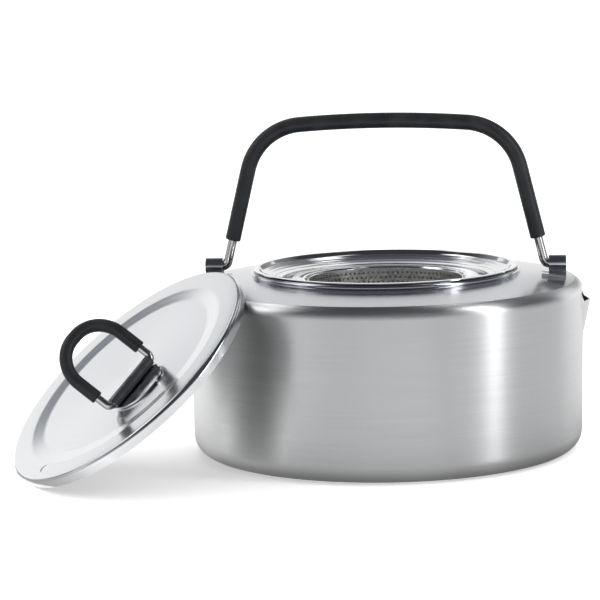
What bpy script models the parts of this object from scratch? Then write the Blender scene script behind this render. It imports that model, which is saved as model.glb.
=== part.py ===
"""Camping teapot with a bail, a hanging tea strainer and a lid that leans on the pot.

Metres, +Z up. The origin is the middle of the pot's flat base. The pouring lip
points along +X and the bail swings about a line parallel to X.
"""
import bpy
import bmesh
import numpy as np
from math import atan2, cos, pi, radians, sin, sqrt, tan
from mathutils import Matrix, Vector

# Clearance between pieces that are welded, crimped or resting on each other
GAP = 0.0003

# Pot body
BASE_FLAT_RADIUS = 0.0770
FOOT_CORNER_HEIGHT = 0.0080
WALL_RADIUS_LOW = 0.0848
WALL_RADIUS_HIGH = 0.0858
WALL_TOP_HEIGHT = 0.0686
TOP_CORNER_INSET = 0.0034
TOP_CORNER_RISE = 0.0051
POT_SHEET = 0.0008

# Pouring lip pressed out of the wall, and the slot above it
LIP_REACH = 0.0031
LIP_HALF_WIDTH = 0.0156
LIP_DEPTH = 0.0160
LIP_DROP = 0.0004
SLOT_HEIGHT = 0.0043
SLOT_HALF_WIDTH = 0.0108

# Shoulder and collar
SHOULDER_RISE = 0.0029
BEAD_OUTER_RADIUS = 0.05815
BEAD_RADIUS = 0.00125
BEAD_RISE = 0.0012
COLLAR_CREASE = 0.0006

# Strainer
STRAINER_SHEET = 0.00045
RIM_START = 84
CREST_INSET = 0.00165
CREST_RISE = 0.00015
CONE_START = 0.0011
LEDGE_OUTER_RADIUS = 0.0476
LEDGE_DROP = 0.0049
LEDGE_NECK_DEPTH = 0.0016
BASKET_RADIUS = 0.0340
BASKET_SHEET = 0.0005
BASKET_DEPTH = 0.0380
FLOOR_HOLE_RINGS = 3
FLOOR_HOLE_COLUMNS = 12
HOLE_SHARE = 0.45
FLOOR_RIM_HEIGHT = 0.0016

# Brackets
BRACKET_INNER_X = 0.0710
BRACKET_LENGTH = 0.0075
BRACKET_SHEET = 0.0009
BRACKET_NECK = 0.0016
BRACKET_FOOT_HALF_WIDTH = 0.0060
BRACKET_FOOT_EXTRA = 0.0030
PIN_CLEARANCE = 0.0008

# Bail
BAIL_WIRE_RADIUS = 0.0020
BAIL_SLEEVE_RADIUS = 0.00335
BAIL_HEIGHT = 0.0629
BAIL_LEAN = 0.2395
BAIL_CORNER_RADIUS = 0.0253
BAIL_ARCH_SAG = 0.0022
BAIL_FOOT_SET_IN = 0.0017
BAIL_FOOT_BEND = 0.0026
BAIL_SLEEVE_START = 0.0115

# Lid
LID_RADIUS = 0.0612
LID_SKIRT_RADIUS = 0.0605
LID_SKIRT_DEPTH = 0.00495
LID_SHEET = 0.0006
LID_EDGE_ROUND = 0.0007
RECESS_RADIUS = 0.0480
RECESS_DEPTH = 0.0009
RECESS_SLOPE = 0.0020
VENT_PLACE_RADIUS = 0.0552
VENT_HALF_WIDTH = 0.0013
VENT_ANGLE = radians(100.8)
LID_AZIMUTH = radians(209.3)
LID_TILT = radians(40.44)

# Lid loop and its keeper
LOOP_PLACE_A = -0.0191
LOOP_PLACE_B = 0.0034
LOOP_TURN = radians(-77.0)
LOOP_RAISE = radians(64.3)
LOOP_WIRE_RADIUS = 0.0017
LOOP_SLEEVE_RADIUS = 0.00275
LOOP_HALF_WIDTH = 0.0144
LOOP_REACH = 0.0300
LOOP_END_RADIUS = 0.0134
LOOP_FOOT_BEND = 0.0022
LOOP_FOOT_LENGTH = 0.0104
LOOP_SLEEVE_START = 0.0065
KEEPER_SHEET = 0.0007
KEEPER_END_SET_IN = 0.0019
TONGUE_STRAIGHT = 0.0020
TONGUE_REACH = 0.0146

# Fineness of the turned and swept surfaces
SEGMENTS = 48
TUBE_SIDES = 10


def material(name, color, roughness, metallic):
    look = bpy.data.materials.new(name)
    look.use_nodes = True
    shader = look.node_tree.nodes["Principled BSDF"]
    shader.inputs["Base Color"].default_value = (*color, 1.0)
    shader.inputs["Roughness"].default_value = roughness
    shader.inputs["Metallic"].default_value = metallic
    return look


def add_empty(name, matrix, parent=None):
    empty = bpy.data.objects.new(name, None)
    bpy.context.collection.objects.link(empty)
    empty.parent = parent
    empty.matrix_basis = matrix
    return empty


def add_body(name, bm, look, parent):
    """Turn a bmesh into a smooth shaded object under its parent."""
    bmesh.ops.recalc_face_normals(bm, faces=bm.faces)
    mesh = bpy.data.meshes.new(name)
    bm.to_mesh(mesh)
    bm.free()
    mesh.shade_smooth()
    mesh.set_sharp_from_angle(angle=radians(35))
    mesh.materials.append(look)
    body = bpy.data.objects.new(name, mesh)
    bpy.context.collection.objects.link(body)
    body.parent = parent
    return body


def arc(centre_x, centre_y, radius_x, radius_y, start, end, steps):
    """Points of an elliptical arc, both ends included, angles in degrees."""
    points = []
    for k in range(steps + 1):
        angle = radians(start + (end - start) * k / steps)
        points.append((centre_x + radius_x * cos(angle), centre_y + radius_y * sin(angle)))
    return points


def offset(path, distance):
    """A flat path moved to its left by a distance, with mitred corners.

    Points on the axis, where the first coordinate is zero, stay on it.
    """
    points = [Vector(point) for point in path]
    sides = []
    for first, second in zip(points, points[1:]):
        along = (second - first).normalized()
        sides.append(Vector((-along.y, along.x)))
    moved = []
    for k, point in enumerate(points):
        before = sides[max(k - 1, 0)]
        after = sides[min(k, len(sides) - 1)]
        mitre = (before + after) / (1.0 + before.dot(after))
        place = point + mitre * distance
        moved.append((0.0 if path[k][0] == 0.0 else place.x, place.y))
    return moved


def sheet(outside, inside, closed, holes=()):
    """Closed body between two matching grids of points.

    Rows follow the section and columns go across it or around the axis. A row
    of one point is a pole. A hole is the cell (row, column) that is left out of
    both skins, with its edge walled.
    """
    bm = bmesh.new()
    skins = [[[bm.verts.new(point) for point in row] for row in skin] for skin in (outside, inside)]
    rows = len(outside)
    columns = max(len(row) for row in outside)
    spans = columns if closed else columns - 1

    def corner(skin, i, j):
        row = skins[skin][i]
        return row[0] if len(row) == 1 else row[j % columns]

    def is_solid(i, j):
        if closed:
            j %= columns
        return 0 <= i < rows - 1 and 0 <= j < spans and (i, j) not in holes

    def add_face(corners):
        distinct = list(dict.fromkeys(corners))
        if len(distinct) > 2:
            bm.faces.new(distinct)

    def add_wall(first, second):
        add_face([corner(0, *first), corner(0, *second), corner(1, *second), corner(1, *first)])

    for i in range(rows - 1):
        for j in range(spans):
            if not is_solid(i, j):
                continue
            for skin in (0, 1):
                add_face([corner(skin, i, j), corner(skin, i, j + 1),
                          corner(skin, i + 1, j + 1), corner(skin, i + 1, j)])
            if not is_solid(i - 1, j):
                add_wall((i, j), (i, j + 1))
            if not is_solid(i + 1, j):
                add_wall((i + 1, j), (i + 1, j + 1))
            if not is_solid(i, j - 1):
                add_wall((i, j), (i + 1, j))
            if not is_solid(i, j + 1):
                add_wall((i, j + 1), (i + 1, j + 1))
    return bm


def turned(profile, angles):
    """Grid of a (radius, height) profile turned about Z, with poles on the axis."""
    grid = []
    for radius, height in profile:
        if radius == 0.0:
            grid.append([Vector((0.0, 0.0, height))])
        else:
            grid.append([Vector((radius * cos(a), radius * sin(a), height)) for a in angles])
    return grid


def turned_loop(loop):
    """Ring whose section is a closed loop of (radius, height) points."""
    bm = bmesh.new()
    verts = [bm.verts.new((radius, 0.0, height)) for radius, height in loop]
    edges = [bm.edges.new((verts[k - 1], verts[k])) for k in range(len(verts))]
    bmesh.ops.spin(bm, geom=verts + edges, axis=(0, 0, 1), cent=(0, 0, 0), angle=2 * pi,
                   steps=SEGMENTS, use_merge=True, use_duplicate=False)
    bmesh.ops.remove_doubles(bm, verts=bm.verts, dist=0.000001)
    return bm


def even_angles(extra=(), clear=radians(1.2)):
    """Even turn of SEGMENTS angles plus extra ones, without close neighbours."""
    extra = sorted(angle % (2 * pi) for angle in extra)
    kept = list(extra)
    for k in range(SEGMENTS):
        angle = 2 * pi * k / SEGMENTS
        gaps = [abs((angle - other + pi) % (2 * pi) - pi) for other in extra]
        if not gaps or min(gaps) > clear:
            kept.append(angle)
    return sorted(kept)


def rings(path, radius, across):
    """Rings of points square to a flat path, whose plane has the unit normal across."""
    grid = []
    last = len(path) - 1
    for k, point in enumerate(path):
        before = (point - path[max(k - 1, 0)]) if k > 0 else (path[1] - point)
        after = (path[min(k + 1, last)] - point) if k < last else before
        along = (before.normalized() + after.normalized()).normalized()
        side = across.cross(along)
        ring = []
        for j in range(TUBE_SIDES):
            angle = 2 * pi * (j + 0.5) / TUBE_SIDES
            ring.append(point + radius * (cos(angle) * side + sin(angle) * across))
        grid.append(ring)
    return grid


def add_wire(name, path, radius, look, parent):
    """Solid round wire along a path, with flat ends."""
    curve = bpy.data.curves.new(name, "CURVE")
    curve.dimensions = "3D"
    curve.bevel_depth = radius
    curve.bevel_resolution = 3
    curve.use_fill_caps = True
    spline = curve.splines.new("POLY")
    spline.points.add(len(path) - 1)
    for knot, point in zip(spline.points, path):
        knot.co = (*point, 1.0)
    curve.materials.append(look)
    body = bpy.data.objects.new(name, curve)
    bpy.context.collection.objects.link(body)
    body.parent = parent
    return body


def add_hose(name, path, bore_radius, radius, across, look, parent):
    """Hose with an open bore along a path."""
    bm = sheet(rings(path, radius, across), rings(path, bore_radius, across), closed=True)
    return add_body(name, bm, look, parent)


def mirrored(half):
    """A path from its right half, which ends on the middle line."""
    return half + [Vector((-point.x, point.y, point.z)) for point in reversed(half[:-1])]


# Start from an empty scene.
for leftover in list(bpy.data.objects):
    bpy.data.objects.remove(leftover, do_unlink=True)

brushed = material("brushed_steel", (0.62, 0.62, 0.61), 0.32, 1.0)
polished = material("polished_steel", (0.70, 0.70, 0.69), 0.08, 1.0)
satin = material("satin_steel", (0.68, 0.68, 0.67), 0.28, 1.0)
strainer_look = material("strainer_steel", (0.60, 0.60, 0.59), 0.15, 1.0)
wire_look = material("wire_steel", (0.58, 0.58, 0.57), 0.12, 1.0)
hose_look = material("black_hose", (0.015, 0.015, 0.016), 0.45, 0.0)

pot = add_empty("pot_frame", Matrix.Identity(4))


# Pot body: base, rounded foot, wall and the curve up to the seam.
def wall_radius(height):
    share = (height - FOOT_CORNER_HEIGHT) / (WALL_TOP_HEIGHT - FOOT_CORNER_HEIGHT)
    return WALL_RADIUS_LOW + (WALL_RADIUS_HIGH - WALL_RADIUS_LOW) * share


lip_height = WALL_TOP_HEIGHT - SLOT_HEIGHT
lip_foot = lip_height - LIP_DEPTH
body_profile = [(0.0, 0.0)]
body_profile += arc(BASE_FLAT_RADIUS, FOOT_CORNER_HEIGHT, WALL_RADIUS_LOW - BASE_FLAT_RADIUS,
                    FOOT_CORNER_HEIGHT, -90, 0, 4)
for step in range(5):
    height = lip_foot + LIP_DEPTH * step / 4
    body_profile.append((wall_radius(height), height))
lip_row = len(body_profile) - 1

top_corner_radius = (TOP_CORNER_INSET ** 2 + TOP_CORNER_RISE ** 2) / (2 * TOP_CORNER_INSET)
top_corner_angle = atan2(TOP_CORNER_RISE, top_corner_radius - TOP_CORNER_INSET)
body_profile += arc(WALL_RADIUS_HIGH - top_corner_radius, WALL_TOP_HEIGHT, top_corner_radius,
                    top_corner_radius, 0, top_corner_angle * 180 / pi, 4)
body_inner = offset(body_profile, POT_SHEET)

lip_steps = [0.0, SLOT_HALF_WIDTH / 3, SLOT_HALF_WIDTH * 2 / 3, SLOT_HALF_WIDTH,
             (SLOT_HALF_WIDTH + LIP_HALF_WIDTH) / 2, LIP_HALF_WIDTH]
lip_angles = [side * step / WALL_RADIUS_HIGH for step in lip_steps for side in (1, -1) if step or side > 0]
pot_angles = [angle for angle in even_angles(lip_angles)
              if angle in [a % (2 * pi) for a in lip_angles]
              or min(angle, 2 * pi - angle) > LIP_HALF_WIDTH / WALL_RADIUS_HIGH + radians(1.2)]


def press_lip(grid):
    """Push the wall below the slot out into a shallow lip that narrows downward."""
    for row in grid[1:lip_row + 1]:
        for j, angle in enumerate(pot_angles):
            sideways = abs((angle + pi) % (2 * pi) - pi) * WALL_RADIUS_HIGH
            share = (row[j].z - lip_foot) / LIP_DEPTH - sideways / LIP_HALF_WIDTH
            if share > 0.0:
                outward = Vector((cos(angle), sin(angle), 0.0))
                row[j] += outward * LIP_REACH * share - Vector((0.0, 0.0, LIP_DROP * share))
    return grid


slot_angle = SLOT_HALF_WIDTH / WALL_RADIUS_HIGH
slot_cells = []
for j, angle in enumerate(pot_angles):
    following = pot_angles[(j + 1) % len(pot_angles)]
    middle = (angle + ((following - angle) % (2 * pi)) / 2 + pi) % (2 * pi) - pi
    if abs(middle) < slot_angle:
        slot_cells.append((lip_row, j))
body_mesh = sheet(press_lip(turned(body_profile, pot_angles)), press_lip(turned(body_inner, pot_angles)),
                  closed=True, holes=slot_cells)
add_body("pot_body", body_mesh, brushed, pot)


# Shoulder: its outer edge follows the end of the body's sheet, its inner edge is a rolled bead.
seam = Vector(body_profile[-1])
seam_inner = Vector(body_inner[-1])
shoulder_edge = seam + Vector((-GAP, GAP * 0.1))
shoulder_inner_radius = BEAD_OUTER_RADIUS + COLLAR_CREASE
shoulder_slope = atan2(SHOULDER_RISE, shoulder_edge.x - shoulder_inner_radius)


def shoulder_height(radius):
    return shoulder_edge.y + (shoulder_edge.x - radius) * tan(shoulder_slope)


def shoulder_under(radius):
    return shoulder_height(radius) - POT_SHEET / cos(shoulder_slope)


bead_centre = Vector((BEAD_OUTER_RADIUS - BEAD_RADIUS, shoulder_height(shoulder_inner_radius) + BEAD_RISE))
bead = arc(bead_centre.x, bead_centre.y, BEAD_RADIUS, BEAD_RADIUS, -50, 180, 6)
collar_bore = bead_centre.x - BEAD_RADIUS
under_edge = seam_inner.x - GAP * 1.15
shoulder_loop = [tuple(shoulder_edge), (shoulder_inner_radius, shoulder_height(shoulder_inner_radius))]
shoulder_loop += bead
shoulder_loop += [(collar_bore, shoulder_under(collar_bore)), (under_edge, shoulder_under(under_edge))]
add_body("pot_shoulder", turned_loop(shoulder_loop), brushed, pot)


# Strainer: a rim that rests over the bead, a cone, a flat ledge and a basket.
strainer = add_empty("strainer_lift", Matrix.Identity(4), pot)
flange_radius = BEAD_RADIUS + GAP + STRAINER_SHEET
crest = Vector((bead_centre.x - CREST_INSET, bead_centre.y + flange_radius + CREST_RISE))
ledge_height = crest.y - LEDGE_DROP
neck_radius = BASKET_RADIUS + GAP
dish_path = arc(bead_centre.x, bead_centre.y, flange_radius, flange_radius, RIM_START, 90, 2)
dish_path += [
    (bead_centre.x - CREST_INSET / 2, crest.y - CREST_RISE * 0.4),
    tuple(crest),
    (crest.x - CONE_START * 0.6, crest.y - CONE_START * 0.2),
    (crest.x - CONE_START, crest.y - CONE_START * 0.5),
    (LEDGE_OUTER_RADIUS + CONE_START * 0.4, ledge_height + CONE_START * 0.3),
    (LEDGE_OUTER_RADIUS - CONE_START * 0.3, ledge_height),
    (neck_radius + LEDGE_NECK_DEPTH * 0.6, ledge_height),
    (neck_radius, ledge_height - LEDGE_NECK_DEPTH * 0.4),
    (neck_radius, ledge_height - LEDGE_NECK_DEPTH),
]
dish_under = offset(dish_path, STRAINER_SHEET)
add_body("strainer_dish", sheet(turned(dish_path, even_angles()), turned(dish_under, even_angles()),
                                closed=True), polished, strainer)

basket_top = ledge_height - LEDGE_NECK_DEPTH * 0.4
basket_foot = basket_top - BASKET_DEPTH
basket_loop = [(BASKET_RADIUS, basket_top), (BASKET_RADIUS, basket_foot),
               (BASKET_RADIUS - BASKET_SHEET, basket_foot), (BASKET_RADIUS - BASKET_SHEET, basket_top)]
add_body("strainer_basket", turned_loop(basket_loop), strainer_look, strainer)

floor_radius = BASKET_RADIUS - BASKET_SHEET - GAP
ring_pitch = floor_radius / (FLOOR_HOLE_RINGS + 0.6)
floor_path = [(0.0, basket_foot + FLOOR_RIM_HEIGHT)]
for ring in range(FLOOR_HOLE_RINGS):
    middle = ring_pitch * (ring + 0.75)
    floor_path += [(middle - ring_pitch * HOLE_SHARE / 2, basket_foot + FLOOR_RIM_HEIGHT),
                   (middle + ring_pitch * HOLE_SHARE / 2, basket_foot + FLOOR_RIM_HEIGHT)]
floor_path += [(floor_radius - FLOOR_RIM_HEIGHT * 0.4, basket_foot + FLOOR_RIM_HEIGHT),
               (floor_radius, basket_foot + FLOOR_RIM_HEIGHT * 0.6), (floor_radius, basket_foot)]
floor_under = offset(floor_path, -BASKET_SHEET)
floor_angles = []
for column in range(FLOOR_HOLE_COLUMNS):
    start = 2 * pi * column / FLOOR_HOLE_COLUMNS
    floor_angles += [start, start + pi * HOLE_SHARE / FLOOR_HOLE_COLUMNS * 2,
                     start + pi * (1 + HOLE_SHARE) / FLOOR_HOLE_COLUMNS]
floor_holes = [(1 + 2 * ring, 3 * column)
               for ring in range(FLOOR_HOLE_RINGS) for column in range(FLOOR_HOLE_COLUMNS)]
add_body("strainer_bottom", sheet(turned(floor_path, floor_angles), turned(floor_under, floor_angles),
                                  closed=True, holes=floor_holes), strainer_look, strainer)


# Brackets: a strip bent into a level barrel on two feet that follow the sloping shoulder.
barrel_radius = BAIL_WIRE_RADIUS + PIN_CLEARANCE + BRACKET_SHEET / 2
barrel_rise = BRACKET_NECK + barrel_radius
bracket_middle = BRACKET_INNER_X + BRACKET_LENGTH / 2
pivot_height = (shoulder_height(bracket_middle)
                + (GAP + BRACKET_SHEET / 2) / cos(shoulder_slope) + barrel_rise)
neck_half = barrel_radius * sin(radians(35))
foot_bend = neck_half + BRACKET_SHEET / 2
bracket_path = [(-BRACKET_FOOT_HALF_WIDTH, -barrel_rise), (-foot_bend, -barrel_rise)]
bracket_path += arc(0.0, 0.0, barrel_radius, barrel_radius, 235, -55, 12)
bracket_path += [(foot_bend, -barrel_rise), (BRACKET_FOOT_HALF_WIDTH, -barrel_rise)]
stations = [-BRACKET_LENGTH / 2 - BRACKET_FOOT_EXTRA, -BRACKET_LENGTH / 2, BRACKET_LENGTH / 2]


def strip_grid(section):
    grid = []
    for side, up in section:
        slope = tan(shoulder_slope) if abs(side) > neck_half and up < -barrel_radius else 0.0
        grid.append([Vector((x, side, up - x * slope)) for x in stations])
    return grid


barrel_cells = [(i, 0) for i in range(1, len(bracket_path) - 2)]
for name, turn in (("bail_bracket_left", pi), ("bail_bracket_right", 0.0)):
    bracket_mesh = sheet(strip_grid(offset(bracket_path, BRACKET_SHEET / 2)),
                         strip_grid(offset(bracket_path, -BRACKET_SHEET / 2)),
                         closed=False, holes=barrel_cells)
    bracket = add_body(name, bracket_mesh, polished, pot)
    bracket.location = (bracket_middle * cos(turn), 0.0, pivot_height)
    bracket.rotation_euler = (0.0, 0.0, turn)


# Bail: the pin ends, a tight bend, leaning legs, round corners and a slightly arched grip.
bail = add_empty("bail_swing", Matrix.Translation((0.0, 0.0, pivot_height)), pot)
leg_foot = BRACKET_INNER_X - BAIL_FOOT_SET_IN
pin_end = bracket_middle + BRACKET_LENGTH / 2 - GAP
leg_turn = pi / 2 - BAIL_LEAN
bend_start = leg_foot + BAIL_FOOT_BEND * tan(leg_turn / 2)
bail_foot = [(pin_end, 0.0)]
for step in range(5):
    angle = leg_turn * step / 4
    bail_foot.append((bend_start - BAIL_FOOT_BEND * sin(angle), BAIL_FOOT_BEND * (1 - cos(angle))))

leg_along = Vector((-sin(BAIL_LEAN), cos(BAIL_LEAN)))
leg_inward = Vector((-cos(BAIL_LEAN), -sin(BAIL_LEAN)))
arch_half = leg_foot - tan(BAIL_LEAN) * BAIL_HEIGHT - BAIL_CORNER_RADIUS * 0.3
arch_radius = (arch_half ** 2 + BAIL_ARCH_SAG ** 2) / (2 * BAIL_ARCH_SAG)
arch_centre = Vector((0.0, BAIL_HEIGHT - arch_radius))
beside_leg = Vector((leg_foot, 0.0)) + leg_inward * BAIL_CORNER_RADIUS
reach = beside_leg - arch_centre
half_b = reach.dot(leg_along)
rest = reach.length_squared - (arch_radius - BAIL_CORNER_RADIUS) ** 2
corner_centre = beside_leg + leg_along * (sqrt(half_b ** 2 - rest) - half_b)
corner_end = atan2(*(corner_centre - arch_centre).yx)
bail_grip = [(leg_foot - tan(BAIL_LEAN) * BAIL_SLEEVE_START, BAIL_SLEEVE_START)]
bail_grip += arc(*corner_centre, BAIL_CORNER_RADIUS, BAIL_CORNER_RADIUS,
                 BAIL_LEAN * 180 / pi, corner_end * 180 / pi, 7)
bail_grip += arc(*arch_centre, arch_radius, arch_radius, corner_end * 180 / pi, 90, 3)[1:]

foot_points = [Vector((side, 0.0, up)) for side, up in bail_foot]
grip_points = [Vector((side, 0.0, up)) for side, up in bail_grip]
add_wire("bail_wire", mirrored(foot_points + grip_points), BAIL_WIRE_RADIUS, wire_look, bail)
add_hose("bail_sleeve", mirrored(grip_points), BAIL_WIRE_RADIUS + GAP, BAIL_SLEEVE_RADIUS,
         Vector((0.0, 1.0, 0.0)), hose_look, bail)


# Lid: round sheet with a skirt, a shallow recess and a vent, in its own frame with its rim plane at zero.
lid_profile = [
    (0.0, -RECESS_DEPTH),
    (RECESS_RADIUS - RECESS_SLOPE, -RECESS_DEPTH),
    (RECESS_RADIUS, 0.0),
    (VENT_PLACE_RADIUS - VENT_HALF_WIDTH, 0.0),
    (VENT_PLACE_RADIUS + VENT_HALF_WIDTH, 0.0),
    (LID_RADIUS - LID_EDGE_ROUND, 0.0),
    (LID_RADIUS, -LID_EDGE_ROUND),
    (LID_SKIRT_RADIUS, -LID_SKIRT_DEPTH),
]
lid_inner = offset(lid_profile, -LID_SHEET)
vent_half_angle = VENT_HALF_WIDTH / VENT_PLACE_RADIUS
lid_angles = even_angles([VENT_ANGLE - vent_half_angle, VENT_ANGLE + vent_half_angle])
vent_column = min(range(len(lid_angles)), key=lambda j: abs(lid_angles[j] - (VENT_ANGLE - vent_half_angle)))

# The lid stands on the ground on its skirt and leans on the pot. Its distance from the pot's
# axis is the smallest one at which its underside clears the pot's outline by the gap.
outline = body_profile[1:] + shoulder_loop[:8] + dish_path[:4]
outline = np.array([(0.0, 0.0)] + outline + [(0.0, crest.y)])
lid_outward = Vector((cos(LID_AZIMUTH), sin(LID_AZIMUTH), 0.0))
lid_up = Vector((0.0, 0.0, 1.0))
lid_normal = lid_outward * sin(LID_TILT) + lid_up * cos(LID_TILT)
lid_down = lid_outward * cos(LID_TILT) - lid_up * sin(LID_TILT)
lid_across = lid_down.cross(lid_normal)
lid_height = LID_SKIRT_RADIUS * sin(LID_TILT) + LID_SKIRT_DEPTH * cos(LID_TILT)


def underside_samples():
    """Points of the lid's lower skin and skirt edge, relative to its centre."""
    section = [np.linspace(lid_inner[k], lid_inner[k + 1], 12) for k in range(1, len(lid_inner) - 1)]
    section.append(np.linspace(lid_inner[-1], lid_profile[-1], 4))
    section.append(np.linspace(lid_profile[-1], lid_profile[-2], 12))
    radius, height = np.vstack(section).T
    angle = np.linspace(0.0, 2 * pi, 361)[:, None]
    return (radius * np.cos(angle))[..., None] * np.array(lid_across) \
        + (radius * np.sin(angle))[..., None] * np.array(lid_down) \
        + (height + 0.0 * angle)[..., None] * np.array(lid_normal)


def clearance(points):
    """Smallest signed distance of points from the pot's turned outline."""
    place = np.stack([np.hypot(points[..., 0], points[..., 1]).ravel(), points[..., 2].ravel()], -1)
    inside = np.zeros(len(place), bool)
    nearest = np.full(len(place), 1.0)
    for first, second in zip(outline, outline[1:]):
        side = second - first
        share = np.clip((place - first) @ side / max(side @ side, 1e-12), 0.0, 1.0)
        nearest = np.minimum(nearest, np.linalg.norm(place - first - share[:, None] * side, axis=1))
        if first[1] != second[1]:
            crosses = (first[1] > place[:, 1]) != (second[1] > place[:, 1])
            inside ^= crosses & (place[:, 0] < first[0] + (place[:, 1] - first[1]) * side[0] / side[1])
    return np.where(inside, -nearest, nearest).min()


samples = underside_samples()
near = WALL_RADIUS_HIGH
far = WALL_RADIUS_HIGH + 2 * LID_RADIUS
for step in range(24):
    distance = (near + far) / 2
    moved = samples + np.array(lid_outward * distance + lid_up * lid_height)
    if clearance(moved) < GAP:
        near = distance
    else:
        far = distance
lid_centre = lid_outward * far + lid_up * lid_height
lid_matrix = Matrix((lid_across, lid_down, lid_normal)).transposed().to_4x4()
lid_matrix.translation = lid_centre
lid = add_empty("lid_lift", lid_matrix)
add_body("lid_shell", sheet(turned(lid_profile, lid_angles), turned(lid_inner, lid_angles), closed=True,
                            holes=[(3, vent_column)]), satin, lid)


# Keeper: a barrel rolled from the edge of a half-moon tongue that lies in the recess.
hook_radius = LOOP_WIRE_RADIUS + GAP + KEEPER_SHEET / 2
hinge_height = -RECESS_DEPTH + GAP + KEEPER_SHEET / 2 + hook_radius
keeper_half = LOOP_HALF_WIDTH - KEEPER_END_SET_IN
tongue_depth = TONGUE_REACH - TONGUE_STRAIGHT
keeper_path = []
keeper_widths = []
for angle in (12, 30, 50, 70, 90):
    keeper_path.append((TONGUE_STRAIGHT + tongue_depth * cos(radians(angle)), -hook_radius))
    keeper_widths.append(keeper_half * sin(radians(angle)))
keeper_path += arc(0.0, 0.0, hook_radius, hook_radius, -90, -390, 10)
keeper_widths += [keeper_half] * 11


def keeper_grid(section):
    """The tongue points away from the side that the loop is raised on."""
    return [[Vector((side * half, -along, up)) for side in (-1, 1)]
            for (along, up), half in zip(section, keeper_widths)]


keeper_place = Matrix.Translation((LOOP_PLACE_A, LOOP_PLACE_B, hinge_height))
keeper_place = keeper_place @ Matrix.Rotation(LOOP_TURN, 4, "Z")
keeper = add_empty("keeper_frame", keeper_place, lid)
add_body("lid_keeper", sheet(keeper_grid(offset(keeper_path, KEEPER_SHEET / 2)),
                             keeper_grid(offset(keeper_path, -KEEPER_SHEET / 2)), closed=False),
         polished, keeper)


# Loop: the wire's ends are turned into the barrel and the rest wears a hose.
loop = add_empty("lid_loop_fold", Matrix.Rotation(LOOP_RAISE, 4, "X"), keeper)
foot_end = LOOP_HALF_WIDTH - LOOP_FOOT_LENGTH
loop_foot = [(foot_end, 0.0)]
loop_foot += arc(LOOP_HALF_WIDTH - LOOP_FOOT_BEND, LOOP_FOOT_BEND, LOOP_FOOT_BEND, LOOP_FOOT_BEND, -90, 0, 4)
loop_grip = [(LOOP_HALF_WIDTH, LOOP_SLEEVE_START)]
loop_grip += arc(LOOP_HALF_WIDTH - LOOP_END_RADIUS, LOOP_REACH - LOOP_END_RADIUS, LOOP_END_RADIUS,
                 LOOP_END_RADIUS, 0, 90, 7)
loop_grip.append((0.0, LOOP_REACH))
foot_points = [Vector((side, out, 0.0)) for side, out in loop_foot]
grip_points = [Vector((side, out, 0.0)) for side, out in loop_grip]
add_wire("lid_loop_wire", mirrored(foot_points + grip_points), LOOP_WIRE_RADIUS, wire_look, loop)
add_hose("lid_loop_sleeve", mirrored(grip_points), LOOP_WIRE_RADIUS + GAP, LOOP_SLEEVE_RADIUS,
         Vector((0.0, 0.0, 1.0)), hose_look, loop)
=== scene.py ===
"""Looks of the camping teapot: smooth skins over the solids, materials, a studio and a camera."""
from math import acos, asin, atan2, cos, hypot, pi, radians, sin, sqrt, tan

import bmesh
import bpy
from mathutils import Matrix, Vector


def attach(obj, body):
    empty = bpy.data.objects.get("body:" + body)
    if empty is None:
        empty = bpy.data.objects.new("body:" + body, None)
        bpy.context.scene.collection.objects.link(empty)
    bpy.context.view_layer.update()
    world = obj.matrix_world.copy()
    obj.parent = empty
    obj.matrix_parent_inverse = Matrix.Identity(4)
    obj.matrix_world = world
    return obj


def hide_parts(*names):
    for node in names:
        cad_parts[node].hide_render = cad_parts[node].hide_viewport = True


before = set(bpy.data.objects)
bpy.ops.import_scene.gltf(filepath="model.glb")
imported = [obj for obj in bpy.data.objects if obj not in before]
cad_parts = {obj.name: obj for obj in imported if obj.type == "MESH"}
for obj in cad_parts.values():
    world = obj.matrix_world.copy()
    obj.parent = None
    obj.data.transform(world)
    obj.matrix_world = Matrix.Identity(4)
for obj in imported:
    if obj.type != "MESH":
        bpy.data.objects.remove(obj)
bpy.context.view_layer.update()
for leftover in [o for o in bpy.data.objects if o.type in ("LIGHT", "CAMERA")]:
    bpy.data.objects.remove(leftover, do_unlink=True)

MM = 0.001

# Real sizes in millimetres and angles in radians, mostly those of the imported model
GAP = 0.3

BASE_FLAT_RADIUS = 77.0
FOOT_CORNER_HEIGHT = 8.0
WALL_RADIUS_LOW = 84.8
WALL_RADIUS_HIGH = 85.8
WALL_TOP_HEIGHT = 68.6
TOP_CORNER_INSET = 3.4
TOP_CORNER_RISE = 5.1
POT_SHEET = 0.8
LIP_REACH = 3.1
LIP_HALF_WIDTH = 15.6
LIP_DEPTH = 16.0
LIP_DROP = 0.4
LIP_HEIGHT = 65.0
LIP_ROWS = 20
SLOT_TOP = 68.2
SLOT_HALF_WIDTH = 10.8
SLOT_EDGE_DEPTHS = (0.55, 0.42, 0.25, 0.1)

SHOULDER_EDGE = (82.1, 73.73)
SHOULDER_END = (58.75, 76.63)
SHOULDER_CREST = (82.0, 73.76)
SHOULDER_SLOPE = 0.123564
SEAM_EDGE = [(82.30, 73.45), (82.28, 73.72)]
COLLAR_FOOT = (57.75, 76.9)
COLLAR_INNER_RADIUS = 55.65
BEAD_CENTRE = (56.9, 77.83)
BEAD_RADIUS = 1.25

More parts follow.
